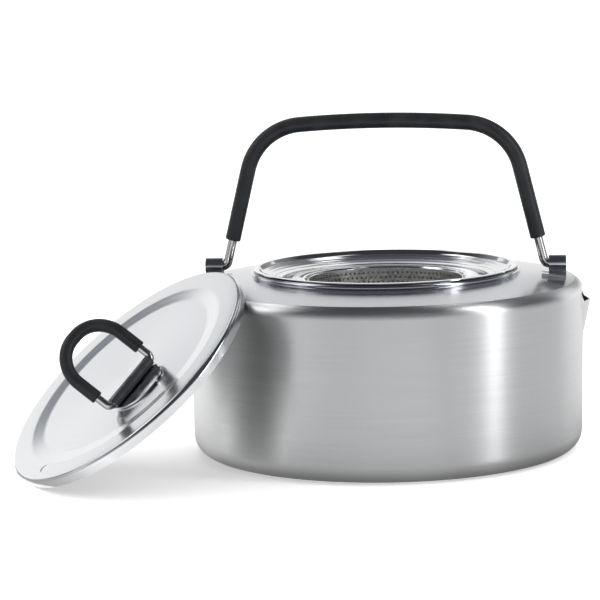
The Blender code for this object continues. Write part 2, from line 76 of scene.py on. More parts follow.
DISH_SHEET = 0.42
LEDGE_HEIGHT = 75.08
BASKET_RADIUS = 34.0
BASKET_SHEET = 0.5
BASKET_TOP = 74.44
BASKET_FOOT = 36.44
HOLES_ROUND = 96
HOLE_ROWS = 15
HOLE_ROW_PITCH = 2.1
HOLE_RADIUS = 0.55
FLOOR_CELLS = 29
FLOOR_PITCH = 2.2
FLOOR_HOLE_RADIUS = 0.62
FLOOR_PERFORATED_RADIUS = 29.8
FLOOR_RIM_INNER_RADIUS = 28.6
FLOOR_RIM_OUTER_RADIUS = 33.2

PIVOT_HEIGHT = 80.249
BRACKET_MIDDLE = 74.75
BRACKET_LENGTH = 7.5
BRACKET_SHEET = 0.9
BRACKET_FOOT_HALF_WIDTH = 6.0
BRACKET_FOOT_EXTRA = 3.0
BARREL_RADIUS = 3.25
BARREL_RISE = 4.85
BARREL_OPENING_DEGREES = 35
BAIL_WIRE_RADIUS = 2.0
BAIL_SLEEVE_RADIUS = 3.35
BAIL_WIRE_END = 78.1
BAIL_LEG_FOOT = 69.3
BAIL_LEAN = 0.2395
BAIL_HEIGHT = 62.9
BAIL_CORNER_RADIUS = 25.3
BAIL_ARCH_SAG = 2.2
BAIL_FOOT_BEND = 2.6
BAIL_SLEEVE_START = 11.5
BORE_CLEARANCE = 0.05

LID_RADIUS = 61.2
LID_RIM_RADIUS = 60.1
LID_RIM_DROP = 1.2
LID_SKIRT_RADIUS = 60.5
LID_SKIRT_DEPTH = 4.95
LID_SHEET = 0.6
RECESS_FLOOR_RADIUS = 44.2
RECESS_EDGE_RADIUS = 50.4
RECESS_DEPTH = 0.9
VENT_START = 52.3
VENT_LENGTH = 3.8
VENT_WIDTH = 0.8
VENT_BOW = 1.5
VENT_ANGLE = radians(101.7)
VENT_STEPS = 8
VENT_BEND_REACH = 6.0
LID_CENTRE = (-106.171, -59.58, 43.011)
LID_AZIMUTH = radians(209.3)
LID_TILT = radians(40.44)

KEEPER_SHEET = 0.7
KEEPER_HALF = 12.5
HOOK_RADIUS = 2.35
TONGUE_STRAIGHT = 2.0
TONGUE_REACH = 14.6
LOOP_PLACE = (-19.1, 3.4, 2.1)
LOOP_TURN = radians(-77.0)
LOOP_RAISE = radians(64.3)
LOOP_WIRE_RADIUS = 1.7
LOOP_SLEEVE_RADIUS = 2.75
LOOP_HALF_WIDTH = 14.4
LOOP_REACH = 30.0
LOOP_END_RADIUS = 13.4
LOOP_FOOT_BEND = 2.2
LOOP_FOOT_LENGTH = 10.4
LOOP_SLEEVE_START = 6.5

# Steps in a full turn of the large sheets and of the basket's plain rings
TURN_STEPS = 240
BASKET_STEPS = 192


# Materials, whose noises have rates in periods per metre of the real piece

SCRATCH_RATE_AROUND = 24.0
SCRATCH_RATE_ACROSS = 2600.0
BROAD_RATE_AROUND = 12.0
BROAD_RATE_ACROSS = 620.0
DENT_RATE = 22.0
SWIRL_RATE = 260.0
UNEVEN_RATE = 90.0
SPUN_RING_RATE = 380.0
PEBBLE_RATE = 2600.0
PEBBLE_DEPTH = 0.00002
SCUFF_RATE = 120.0


def new_material(name):
    look = bpy.data.materials.new(name)
    look.use_nodes = True
    tree = look.node_tree
    return look, tree, tree.nodes["Principled BSDF"]


def set_inputs(tree, node, inputs):
    """Give a node's inputs plain values, or feed them from the outputs of other nodes."""
    for key, value in inputs.items():
        if isinstance(value, bpy.types.NodeSocket):
            tree.links.new(value, node.inputs[key])
        else:
            node.inputs[key].default_value = value


def add_node(tree, kind, inputs, **settings):
    node = tree.nodes.new("ShaderNode" + kind)
    for key, value in settings.items():
        setattr(node, key, value)
    set_inputs(tree, node, inputs)
    return node


def add_noise(tree, place, scale, detail):
    noise = add_node(tree, "TexNoise", {"Scale": scale, "Detail": detail, "Vector": place})
    return noise.outputs["Fac"]


def add_range(tree, value, start, end, new_start, new_end):
    """Map the range from start to end onto a new range, and hold it at both ends."""
    mapped = add_node(tree, "MapRange", {"From Min": start, "From Max": end, "To Min": new_start,
                                         "To Max": new_end, "Value": value})
    return mapped.outputs["Result"]


def add_bump(tree, height, depth, normal=None):
    """Bumps of a depth in metres, laid over an earlier normal if there is one."""
    inputs = {"Strength": 1.0, "Distance": depth, "Height": height}
    if normal is not None:
        inputs["Normal"] = normal
    return add_node(tree, "Bump", inputs).outputs[0]


def own_place(tree):
    """Place of a point in its piece's own frame, stored on the mesh by store_place."""
    return add_node(tree, "Attribute", {}, attribute_name="place").outputs["Vector"]


def axis_distance(tree, place):
    """Distance of a place from the piece's own Z axis."""
    flat = add_node(tree, "VectorMath", {0: place, 1: (1.0, 1.0, 0.0)}, operation="MULTIPLY")
    length = add_node(tree, "VectorMath", {0: flat.outputs[0]}, operation="LENGTH")
    return length.outputs["Value"]


def dimmed(color, share):
    return (*(part * share for part in color), 1.0)


def steel(name, color, roughness, anisotropic, grain, streak, wobble=0.0, under=1.0):
    """Steel brushed in circles about the piece's own Z axis.

    grain is the depth of the fine scratches in metres, streak the swing of the
    roughness along them, wobble the height of slow dents in metres, and the last
    argument the share of the colour that faces looking down keep, as painted shade.
    """
    look, tree, shader = new_material(name)
    place = own_place(tree)
    height = add_node(tree, "SeparateXYZ", {0: place}).outputs["Z"]
    # Distance along the section: height on a wall, radius on a flat
    along = add_node(tree, "Math", {0: axis_distance(tree, place), 1: height}, operation="ADD").outputs[0]

    def scratches(rate_around, rate_across, detail):
        scaled = add_node(tree, "VectorMath", {0: place, 1: (rate_around, rate_around, 0.0)},
                          operation="MULTIPLY")
        steps = add_node(tree, "Math", {0: along, 1: rate_across}, operation="MULTIPLY")
        lift = add_node(tree, "CombineXYZ", {"Z": steps.outputs[0]})
        total = add_node(tree, "VectorMath", {0: scaled.outputs[0], 1: lift.outputs[0]}, operation="ADD")
        return add_noise(tree, total.outputs[0], 1.0, detail)

    fine = scratches(SCRATCH_RATE_AROUND, SCRATCH_RATE_ACROSS, 3.0)
    broad = scratches(BROAD_RATE_AROUND, BROAD_RATE_ACROSS, 2.0)
    both = add_node(tree, "Mix", {"Factor": 0.4, 2: fine, 3: broad}).outputs[0]
    # Brushed lines a little lighter and darker, and painted shade on the faces that look down
    contrast = add_range(tree, both, 0.38, 0.62, 0.0, 1.0)
    tone = add_node(tree, "Mix", {"Factor": contrast, 6: dimmed(color, 0.965), 7: dimmed(color, 1.035)},
                    data_type="RGBA")
    shaded_faces = add_node(tree, "Attribute", {}, attribute_name="under").outputs["Fac"]
    shade = add_node(tree, "Mix", {"Factor": shaded_faces, 6: tone.outputs[2], 7: dimmed(color, under)},
                     data_type="RGBA")
    rough = add_range(tree, both, 0.3, 0.7, roughness - streak, roughness + streak)
    normal = add_bump(tree, both, grain)
    if wobble:
        normal = add_bump(tree, add_noise(tree, place, DENT_RATE, 1.0), wobble, normal)
    tangent = add_node(tree, "Tangent", {}, direction_type="UV_MAP", uv_map="turn")
    shader.inputs["Base Color"].default_value = (*color, 1.0)
    set_inputs(tree, shader, {"Base Color": shade.outputs[2], "Metallic": 1.0, "Roughness": rough,
                              "Anisotropic": anisotropic, "Anisotropic Rotation": 0.25,
                              "Tangent": tangent.outputs[0], "Normal": normal})
    return look


def polish(name, color, roughness, smear, wobble, spun=0.0):
    """Polished steel with faint swirls and a slightly uneven surface.

    smear is the swing of the roughness in the swirls, wobble the height of the
    unevenness in metres and spun the depth in metres of the rings that spinning
    leaves about the piece's own Z axis.
    """
    look, tree, shader = new_material(name)
    place = own_place(tree)
    rough = add_range(tree, add_noise(tree, place, SWIRL_RATE, 4.0), 0.35, 0.65,
                      max(roughness - smear, 0.02), roughness + smear)
    normal = add_bump(tree, add_noise(tree, place, UNEVEN_RATE, 2.0), wobble)
    if spun:
        rings = add_node(tree, "TexNoise", {"Scale": SPUN_RING_RATE, "Detail": 2.0,
                                            "W": axis_distance(tree, place)}, noise_dimensions="1D")
        normal = add_bump(tree, rings.outputs["Fac"], spun, normal)
    set_inputs(tree, shader, {"Base Color": (*color, 1.0), "Metallic": 1.0, "Roughness": rough,
                              "Normal": normal})
    return look


def hose(name):
    """Black soft hose, semi-matte with a fine pebble and slight scuffs."""
    look, tree, shader = new_material(name)
    place = own_place(tree)
    scuff = add_noise(tree, place, SCUFF_RATE, 6.0)
    shade = add_node(tree, "ValToRGB", {"Fac": scuff})
    shade.color_ramp.elements[0].position = 0.35
    shade.color_ramp.elements[0].color = (0.010, 0.012, 0.0150, 1.0)
    shade.color_ramp.elements[1].position = 0.75
    shade.color_ramp.elements[1].color = (0.021, 0.024, 0.028, 1.0)
    rough = add_range(tree, scuff, 0.3, 0.7, 0.36, 0.52)
    normal = add_bump(tree, add_noise(tree, place, PEBBLE_RATE, 3.0), PEBBLE_DEPTH)
    set_inputs(tree, shader, {"Base Color": shade.outputs["Color"], "Specular IOR Level": 0.38,
                              "Roughness": rough, "Normal": normal})
    return look


BODY_STEEL = steel("body_steel", (0.74, 0.745, 0.75), roughness=0.36, anisotropic=0.80,
                   grain=0.0000050, streak=0.06)
SHOULDER_STEEL = steel("shoulder_steel", (0.55, 0.565, 0.595), roughness=0.20, anisotropic=0.50,
                       grain=0.0000010, streak=0.03)
# The lid's faces that look down keep 17% of its colour, as painted shade
LID_STEEL = steel("lid_steel", (0.885, 0.895, 0.915), roughness=0.21, anisotropic=0.30,
                  grain=0.0000020, streak=0.04, wobble=0.00003, under=0.17)
RIM_STEEL = polish("rim_steel", (0.80, 0.805, 0.81), roughness=0.15, smear=0.04, wobble=0.00010)
DISH_STEEL = polish("dish_steel", (0.76, 0.77, 0.78), roughness=0.06, smear=0.02, wobble=0.00003,
                    spun=0.00022)
BASKET_STEEL = polish("basket_steel", (0.95, 0.95, 0.93), roughness=0.30, smear=0.04, wobble=0.00006)
WIRE_STEEL = polish("wire_steel", (0.66, 0.65, 0.64), roughness=0.12, smear=0.04, wobble=0.00002)
KEEPER_STEEL = polish("keeper_steel", (0.78, 0.785, 0.79), roughness=0.15, smear=0.06, wobble=0.00014)
HOSE = hose("black_hose")


# Shapes

def arc(cx, cy, rx, ry, start, end, steps):
    """Points of an elliptical arc in degrees, both ends included."""
    out = []
    for k in range(steps + 1):
        t = radians(start + (end - start) * k / steps)
        out.append((cx + rx * cos(t), cy + ry * sin(t)))
    return out


def fillet(path, radii, steps=5):
    """A flat path with its inner corners rounded by the given radii."""
    out = [path[0]]
    for before, point, after, radius in zip(path, path[1:], path[2:], radii):
        a = Vector(before) - Vector(point)
        b = Vector(after) - Vector(point)
        longest = 0.48 * min(a.length, b.length)
        a.normalize()
        b.normalize()
        half = acos(max(-1.0, min(1.0, a.dot(b)))) / 2
        reach = min(radius / tan(half), longest)
        radius = reach * tan(half)
        middle = Vector(point) + (a + b).normalized() * radius / sin(half)
        first = Vector(point) + a * reach - middle
        last = Vector(point) + b * reach - middle
        turn = atan2(first.x * last.y - first.y * last.x, first.dot(last))
        for k in range(steps + 1):
            t = turn * k / steps
            out.append((middle.x + first.x * cos(t) - first.y * sin(t),
                        middle.y + first.x * sin(t) + first.y * cos(t)))
    out.append(path[-1])
    return out


def offset(path, distance):
    """A flat path moved to its left, with mitred corners. Points on the axis stay on it."""
    points = [Vector(point) for point in path]
    sides = []
    for first, second in zip(points, points[1:]):
        along = (second - first).normalized()
        sides.append(Vector((-along.y, along.x)))
    moved = []
    for k, point in enumerate(points):
        before = sides[max(k - 1, 0)]
        after = sides[min(k, len(sides) - 1)]
        place = point + (before + after) / (1.0 + before.dot(after)) * distance
        moved.append((0.0 if path[k][0] == 0.0 else place.x, place.y))
    return moved


def add_points(bm, grid):
    """Mesh points for rows of places in millimetres."""
    return [[bm.verts.new(Vector(place) * MM) for place in row] for row in grid]


def sheet(outside, inside, closed, holes=()):
    """Closed body between two matching grids of points, as rows of columns."""
    bm = bmesh.new()
    skins = [add_points(bm, skin) for skin in (outside, inside)]
    rows = len(outside)
    columns = max(len(row) for row in outside)
    spans = columns if closed else columns - 1

    def corner(skin, i, j):
        row = skins[skin][i]
        return row[0] if len(row) == 1 else row[j % columns]

    def is_solid(i, j):
        if closed:
            j %= columns
        return 0 <= i < rows - 1 and 0 <= j < spans and (i, j) not in holes

    def add_face(corners):
        distinct = list(dict.fromkeys(corners))
        if len(distinct) > 2:
            bm.faces.new(distinct)

    def add_wall(first, second):
        add_face([corner(0, *first), corner(0, *second), corner(1, *second), corner(1, *first)])

    for i in range(rows - 1):
        for j in range(spans):
            if not is_solid(i, j):
                continue
            for skin in (0, 1):
                add_face([corner(skin, i, j), corner(skin, i, j + 1),
                          corner(skin, i + 1, j + 1), corner(skin, i + 1, j)])
            if not is_solid(i - 1, j):
                add_wall((i, j), (i, j + 1))
            if not is_solid(i + 1, j):
                add_wall((i + 1, j), (i + 1, j + 1))
            if not is_solid(i, j - 1):
                add_wall((i, j), (i + 1, j))
            if not is_solid(i, j + 1):
                add_wall((i, j + 1), (i + 1, j + 1))
    return bm


def turned(profile, angles):
    """Rows of points from a profile of (radius, height) points turned about the Z axis."""
    grid = []
    for radius, height in profile:
        if radius == 0.0:
            grid.append([(0.0, 0.0, height)])
        else:
            grid.append([(radius * cos(a), radius * sin(a), height) for a in angles])
    return grid


def even(count):
    return [2 * pi * k / count for k in range(count)]


def turned_loop(loop, angles):
    """Ring whose section is a closed loop of (radius, height) points."""
    bm = bmesh.new()
    grid = add_points(bm, turned(loop, angles))
    for i in range(len(grid)):
        for j in range(len(angles)):
            bm.faces.new([grid[i - 1][j - 1], grid[i - 1][j], grid[i][j], grid[i][j - 1]])
    return bm


def join(bm, other):
    """Move another mesh into this one."""
    spare = bpy.data.meshes.new("spare")
    other.to_mesh(spare)
    other.free()
    bm.from_mesh(spare)
    bpy.data.meshes.remove(spare)


def rings(path, radius, across, sides):
    """Rings of points square to a flat path."""
    grid = []
    last = len(path) - 1
    for k, point in enumerate(path):
        before = (point - path[k - 1]) if k > 0 else (path[1] - point)
        after = (path[k + 1] - point) if k < last else before
        along = (before.normalized() + after.normalized()).normalized()
        side = across.cross(along)
        grid.append([point + radius * (cos(t) * side + sin(t) * across)
                     for t in [2 * pi * (j + 0.5) / sides for j in range(sides)]])
    return grid


def rod(path, radius, across, sides=20):
    """Solid round wire with slightly rounded ends."""
    bulge = 0.25
    taper = 0.18
    first = (path[0] - path[1]).normalized()
    last = (path[-1] - path[-2]).normalized()
    grid = rings(path, radius, across, sides)
    ends = [[p + first * bulge + (path[0] - p) * taper for p in grid[0]],
            [p + last * bulge + (path[-1] - p) * taper for p in grid[-1]]]
    bm = bmesh.new()
    verts = add_points(bm, [ends[0]] + grid + [ends[1]])
    for i in range(len(verts) - 1):
        for j in range(sides):
            bm.faces.new([verts[i][j - 1], verts[i][j], verts[i + 1][j], verts[i + 1][j - 1]])
    bm.faces.new(verts[0])
    bm.faces.new(reversed(verts[-1]))
    return bm


def tube(path, bore, radius, across, sides=28):
    """Hose with an open bore and softly rounded ends."""
    rounding = 0.35
    outside = rings(path, radius, across, sides)
    inside = rings(path, bore, across, sides)
    for k, way in ((0, 1), (-1, -1)):
        along = (path[k + way] - path[k]).normalized()
        middle = path[k]
        rim = [middle + (p - middle) * (1 - rounding / radius) for p in outside[k]]
        inner = list(inside[k])
        outside[k] = [p + along * rounding for p in outside[k]]
        if k == 0:
            outside.insert(0, rim)
            inside.insert(0, inner)
            inside[1] = [p + along * rounding for p in inner]
        else:
            outside.append(rim)
            inside.append(inner)
            inside[-2] = [p + along * rounding for p in inner]
    return sheet(outside, inside, closed=True)


def store_place(bm):
    """Keep each point's place in the piece's own frame, and its turn about that frame's Z axis."""
    place = bm.verts.layers.float_vector.new("place")
    turn = bm.loops.layers.uv.new("turn")
    for vert in bm.verts:
        vert[place] = vert.co
    for face in bm.faces:
        middle = face.calc_center_median()
        start = atan2(middle.y, middle.x)
        for loop in face.loops:
            at = loop.vert.co
            angle = atan2(at.y, at.x) if at.xy.length > 0.00001 else start
            angle = start + (angle - start + pi) % (2 * pi) - pi
            loop[turn].uv = (angle / (2 * pi), (at.xy.length + at.z) * 5.0)


def add_piece(name, bm, look, body, replaces, matrix=None):
    """Make a smooth shaded object that rides on a body and replaces CAD nodes."""
    bmesh.ops.recalc_face_normals(bm, faces=bm.faces)
    store_place(bm)
    if matrix is not None:
        bm.transform(matrix)
    mesh = bpy.data.meshes.new(name)
    bm.to_mesh(mesh)
    bm.free()
    mesh.shade_smooth()
    mesh.set_sharp_from_angle(angle=radians(30))
    # Painted shade: faces that look down are marked here, and their steel is drawn darker
    under = mesh.attributes.new("under", "FLOAT", "FACE")
    own_up = matrix.col[2].to_3d() if matrix is not None else Vector((0.0, 0.0, 1.0))
    for face in mesh.polygons:
        under.data[face.index].value = 1.0 if face.normal.dot(own_up) < -0.5 else 0.0
    mesh.materials.append(look)
    piece = bpy.data.objects.new(name, mesh)
    bpy.context.collection.objects.link(piece)
    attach(piece, body)
    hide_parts(*replaces)
    return piece


def placed(location, axes):
    """Matrix of a frame from its place in millimetres and its three axes."""
    matrix = Matrix(axes).transposed().to_4x4()
    matrix.translation = Vector(location) * MM
    return matrix


def mirrored(half):
    """A path from its right half, which ends on the middle line."""
    return half + [Vector((-p.x, p.y, p.z)) for p in reversed(half[:-1])]


# Pot body: base, foot, wall with the pressed lip, and the curve up to the seam

def wall_radius(height):
    share = (height - FOOT_CORNER_HEIGHT) / (WALL_TOP_HEIGHT - FOOT_CORNER_HEIGHT)
    return WALL_RADIUS_LOW + (WALL_RADIUS_HIGH - WALL_RADIUS_LOW) * share


lip_foot = LIP_HEIGHT - LIP_DEPTH
body_profile = [(0.0, 0.0), (40.0, 0.0)]
body_profile += arc(BASE_FLAT_RADIUS, FOOT_CORNER_HEIGHT, WALL_RADIUS_LOW - BASE_FLAT_RADIUS,
                    FOOT_CORNER_HEIGHT, -90, 0, 12)
for step in range(1, 4):
    height = FOOT_CORNER_HEIGHT + (lip_foot - 1.0 - FOOT_CORNER_HEIGHT) * step / 3
    body_profile.append((wall_radius(height), height))
for step in range(LIP_ROWS + 1):
    height = lip_foot + LIP_DEPTH * step / LIP_ROWS
    body_profile.append((wall_radius(height), height))
lip_row = len(body_profile) - 1
body_profile.append((wall_radius(SLOT_TOP), SLOT_TOP))
corner_radius = (TOP_CORNER_INSET ** 2 + TOP_CORNER_RISE ** 2) / (2 * TOP_CORNER_INSET)
corner_angle = atan2(TOP_CORNER_RISE, corner_radius - TOP_CORNER_INSET) * 180 / pi
body_profile += arc(WALL_RADIUS_HIGH - corner_radius, WALL_TOP_HEIGHT, corner_radius, corner_radius,
                    0, corner_angle, 12)
body_inner = offset(body_profile, POT_SHEET)

# The columns are closer together across the slot and the lip
lip_span = LIP_HALF_WIDTH / WALL_RADIUS_HIGH
slot_span = SLOT_HALF_WIDTH / WALL_RADIUS_HIGH
body_angles = [angle for angle in even(TURN_STEPS)
               if min(angle, 2 * pi - angle) > lip_span + radians(1.0)]
body_angles += [(k / 16 * slot_span) % (2 * pi) for k in range(-16, 17)]
body_angles += [(side * (slot_span + (lip_span - slot_span) * k / 7)) % (2 * pi)
                for side in (1, -1) for k in range(1, 8)]
body_angles.sort()


def from_lip(angle):
    """Distance along the wall from the lip's middle."""
    return abs((angle + pi) % (2 * pi) - pi) * WALL_RADIUS_HIGH


def pushed(point, angle, out, drop=0.0):
    """A point of the wall moved away from the pot's axis and down."""
    return (point[0] + out * cos(angle), point[1] + out * sin(angle), point[2] - drop)


def press_lip(grid):
    """Push the wall below the slot out into a shallow lip that narrows downward."""
    for row in grid[2:lip_row + 1]:
        for j, angle in enumerate(body_angles):
            # The root rounds the lip's keel by 0.7 mm, which the next line adds again
            share = (row[j][2] - lip_foot) / LIP_DEPTH - sqrt(from_lip(angle) ** 2 + 0.5) / LIP_HALF_WIDTH
            share += 0.7 / LIP_HALF_WIDTH
            if share > 0.0:
                row[j] = pushed(row[j], angle, LIP_REACH * share, LIP_DROP * share)
    # The slot's upper edge is drawn in a little
    for row, depth in zip(grid[lip_row + 1:], SLOT_EDGE_DEPTHS):
        for j, angle in enumerate(body_angles):
            share = depth * max(0.0, 1.0 - (from_lip(angle) / LIP_HALF_WIDTH) ** 2)
            row[j] = pushed(row[j], angle, -share)
    return grid


slot_cells = set()
for j, angle in enumerate(body_angles):
    following = body_angles[(j + 1) % len(body_angles)]
    middle = (angle + ((following - angle) % (2 * pi)) / 2 + pi) % (2 * pi) - pi
    if abs(middle) < slot_span:
        slot_cells.add((lip_row, j))
body_mesh = sheet(press_lip(turned(body_profile, body_angles)),
                  press_lip(turned(body_inner, body_angles)), True, slot_cells)
add_piece("pot_wall", body_mesh, BODY_STEEL, "pot", ["pot_body"])

# Shoulder with its welded seam and the collar's bead
slope = (SHOULDER_END[1] - SHOULDER_EDGE[1]) / (SHOULDER_EDGE[0] - SHOULDER_END[0])
crest_radius, crest_height = SHOULDER_CREST


def under_height(radius):
    """Height of the shoulder's underside."""
    return SHOULDER_EDGE[1] + (SHOULDER_EDGE[0] - radius) * slope - POT_SHEET


shoulder_loop = SEAM_EDGE + [SHOULDER_CREST]
shoulder_loop += [(crest_radius + (SHOULDER_END[0] - crest_radius) * k / 6,
                   crest_height + (SHOULDER_END[1] - crest_height) * k / 6) for k in range(1, 6)]
shoulder_loop += fillet([(62.0, under_height(62.0) + POT_SHEET), SHOULDER_END, COLLAR_FOOT], [1.2])[1:-1]
shoulder_loop += arc(*BEAD_CENTRE, BEAD_RADIUS, BEAD_RADIUS, -48, 180, 16)
shoulder_loop += [(COLLAR_INNER_RADIUS, under_height(COLLAR_INNER_RADIUS) + 0.3),
                  (COLLAR_INNER_RADIUS + 0.25, under_height(COLLAR_INNER_RADIUS + 0.25)),
                  (81.6, under_height(81.6))]
add_piece("pot_top", turned_loop(shoulder_loop, even(TURN_STEPS)), SHOULDER_STEEL, "pot",
          ["pot_shoulder"])

# Strainer: a rim that hangs on the bead, a cone and a ledge that turns down into the basket
rim_radius = BEAD_RADIUS + GAP + 0.45
ledge_end = BASKET_RADIUS + GAP
dish_path = arc(*BEAD_CENTRE, rim_radius, rim_radius, 82, 90, 2)
dish_path += fillet([(56.7, 79.83), (55.9, 79.96), (55.1, 79.9), (53.9, 78.3), (50.2, 76.3),
                     (45.2, LEDGE_HEIGHT), (BASKET_RADIUS + 1.1, LEDGE_HEIGHT),
                     (ledge_end, LEDGE_HEIGHT - 0.6), (ledge_end, LEDGE_HEIGHT - 1.6)],
                    [1.0, 0.8, 3.0, 5.0, 1.2, 0.6, 0.5], 6)[1:]
dish_mesh = sheet(turned(dish_path, even(TURN_STEPS)),
                  turned(offset(dish_path, DISH_SHEET), even(TURN_STEPS)), True)
add_piece("strainer_rim", dish_mesh, DISH_STEEL, "strainer", ["strainer_dish"])


def perforated(across, down, pitch_u, pitch_v, hole, place, thickness, keep=None):
    """Perforated sheet: staggered cells of a grid, each with a round hole of eight corners.

    place gives the point for two distances along the sheet and a depth in it, and
    keep tells which cells are made. Without keep the sheet closes into a ring.
    """
    bm = bmesh.new()
    found = {}
    border = [(0, 0), (0.5, 0), (1, 0), (1, 0.5), (1, 1), (0.5, 1), (0, 1), (0, 0.5)]
    turns = [atan2(b - 0.5, a - 0.5) for a, b in border]

    def new_vert(u, v, skin):
        return bm.verts.new(Vector(place(u, v, thickness * skin)) * MM)

    def border_vert(u, v, skin):
        """Point of a cell's border, which cells beside each other share."""
        column_key = round(u * 64)
        if keep is None:
            column_key %= across * 64
        key = (column_key, round(v * 64), skin)
        if key not in found:
            found[key] = new_vert(u * pitch_u, v * pitch_v, skin)
        return found[key]

    for row in range(down):
        shift = 0.5 * (row % 2)
        for column in range(across):
            u = column + shift
            middle_u = (u + 0.5) * pitch_u
            middle_v = (row + 0.5) * pitch_v
            if keep and not keep(middle_u, middle_v):
                continue
            edges = []
            for skin in (0, 1):
                outer = [border_vert(u + a, row + b, skin) for a, b in border]
                inner = [new_vert(middle_u + hole * cos(t), middle_v + hole * sin(t), skin) for t in turns]
                edges.append(inner)
                for k in range(8):
                    bm.faces.new([outer[k - 1], outer[k], inner[k], inner[k - 1]])
            for k in range(8):
                bm.faces.new([edges[0][k - 1], edges[0][k], edges[1][k], edges[1][k - 1]])
    return bm


# Basket wall: a plain band, rows of fine holes and a plain foot
holes_top = BASKET_TOP - 1.0
holes_foot = holes_top - HOLE_ROWS * HOLE_ROW_PITCH
basket_bore = BASKET_RADIUS - BASKET_SHEET


def on_basket(u, v, depth):
    angle = u / BASKET_RADIUS
    radius = BASKET_RADIUS - depth
    return (radius * cos(angle), radius * sin(angle), holes_top - v)


wall = perforated(HOLES_ROUND, HOLE_ROWS, 2 * pi * BASKET_RADIUS / HOLES_ROUND, HOLE_ROW_PITCH,
                  HOLE_RADIUS, on_basket, BASKET_SHEET)
for top, foot in ((BASKET_TOP, holes_top), (holes_foot, BASKET_FOOT)):
    band = [(BASKET_RADIUS, top), (BASKET_RADIUS, foot), (basket_bore, foot), (basket_bore, top)]
    join(wall, turned_loop(band, even(BASKET_STEPS)))
add_piece("strainer_wall", wall, BASKET_STEEL, "strainer", ["strainer_basket"])

# Basket floor: a perforated plate in a turned rim
floor_height = BASKET_FOOT + 1.6
floor_half = FLOOR_CELLS * FLOOR_PITCH / 2


def on_floor(u, v, depth):
    return (u - floor_half, v - floor_half, floor_height - depth)


def is_perforated(u, v):
    return hypot(u - floor_half, v - floor_half) < FLOOR_PERFORATED_RADIUS


plate = perforated(FLOOR_CELLS, FLOOR_CELLS, FLOOR_PITCH, FLOOR_PITCH, FLOOR_HOLE_RADIUS, on_floor,
                   BASKET_SHEET, keep=is_perforated)
rim_path = fillet([(FLOOR_RIM_INNER_RADIUS, floor_height + 0.02),
                   (FLOOR_RIM_OUTER_RADIUS, floor_height + 0.02),
                   (FLOOR_RIM_OUTER_RADIUS, BASKET_FOOT)], [1.0])
rim_loop = rim_path + list(reversed(offset(rim_path, -BASKET_SHEET - 0.04)))
join(plate, turned_loop(rim_loop, even(BASKET_STEPS)))
add_piece("strainer_floor", plate, BASKET_STEEL, "strainer", ["strainer_bottom"])

# Brackets: a strip bent into a level barrel on two feet that follow the shoulder
neck = BARREL_RADIUS * sin(radians(BARREL_OPENING_DEGREES))
neck_height = -BARREL_RADIUS * cos(radians(BARREL_OPENING_DEGREES))
bracket_path = fillet([(-BRACKET_FOOT_HALF_WIDTH, -BARREL_RISE), (-neck - 0.45, -BARREL_RISE),
                       (-neck, neck_height)], [0.7])[:-1]
bracket_path += arc(0.0, 0.0, BARREL_RADIUS, BARREL_RADIUS, 270 - BARREL_OPENING_DEGREES,
                    BARREL_OPENING_DEGREES - 90, 28)
bracket_path += fillet([(neck, neck_height), (neck + 0.45, -BARREL_RISE),
                        (BRACKET_FOOT_HALF_WIDTH, -BARREL_RISE)], [0.7])[1:]
low = -BRACKET_LENGTH / 2
high = BRACKET_LENGTH / 2
stations = [low - BRACKET_FOOT_EXTRA, low, low + 0.2, high - 0.2, high]


def strip(section):
    """The bracket's section carried along its length, with feet that slope as the shoulder does."""
    grid = []
    for side, up in section:
        share = (-up - BARREL_RADIUS) / (BARREL_RISE - BARREL_RADIUS - BRACKET_SHEET / 2)
        share = min(max(share, 0.0), 1.0) if abs(side) > neck else 0.0
        grid.append([(x, side, up - x * tan(SHOULDER_SLOPE) * share) for x in stations])
    return grid


# Only the feet reach the first station, so the barrel's cells are left out there
barrel_rows = [i for i, point in enumerate(bracket_path) if point[1] > -BARREL_RISE + 0.02]
barrel_cells = {(i, 0) for i in range(min(barrel_rows) - 1, max(barrel_rows) + 1)}
for name, node, turn in (("bracket_far", "bail_bracket_left", pi),
                         ("bracket_lip", "bail_bracket_right", 0.0)):
    bracket = sheet(strip(offset(bracket_path, BRACKET_SHEET / 2)),
                    strip(offset(bracket_path, -BRACKET_SHEET / 2)), False, barrel_cells)
    matrix = Matrix.Rotation(turn, 4, "Z")
    matrix.translation = Vector((BRACKET_MIDDLE * cos(turn), 0.0, PIVOT_HEIGHT)) * MM
    piece = add_piece(name, bracket, RIM_STEEL, "pot", [node], matrix)
    edge = piece.modifiers.new("edge", "BEVEL")
    edge.width = 0.00012
    edge.segments = 2
    edge.limit_method = "ANGLE"
    edge.angle_limit = radians(50)

# Bail wire and its hose
leg_turn = pi / 2 - BAIL_LEAN
bend_start = BAIL_LEG_FOOT + BAIL_FOOT_BEND * tan(leg_turn / 2)
bail_foot = [(BAIL_WIRE_END, 0.0)]
bail_foot += [(bend_start - BAIL_FOOT_BEND * sin(leg_turn * k / 10),
               BAIL_FOOT_BEND * (1 - cos(leg_turn * k / 10))) for k in range(11)]
leg_along = Vector((-sin(BAIL_LEAN), cos(BAIL_LEAN)))
leg_inward = Vector((-cos(BAIL_LEAN), -sin(BAIL_LEAN)))
arch_half = BAIL_LEG_FOOT - tan(BAIL_LEAN) * BAIL_HEIGHT - BAIL_CORNER_RADIUS * 0.3
arch_radius = (arch_half ** 2 + BAIL_ARCH_SAG ** 2) / (2 * BAIL_ARCH_SAG)
arch_centre = Vector((0.0, BAIL_HEIGHT - arch_radius))
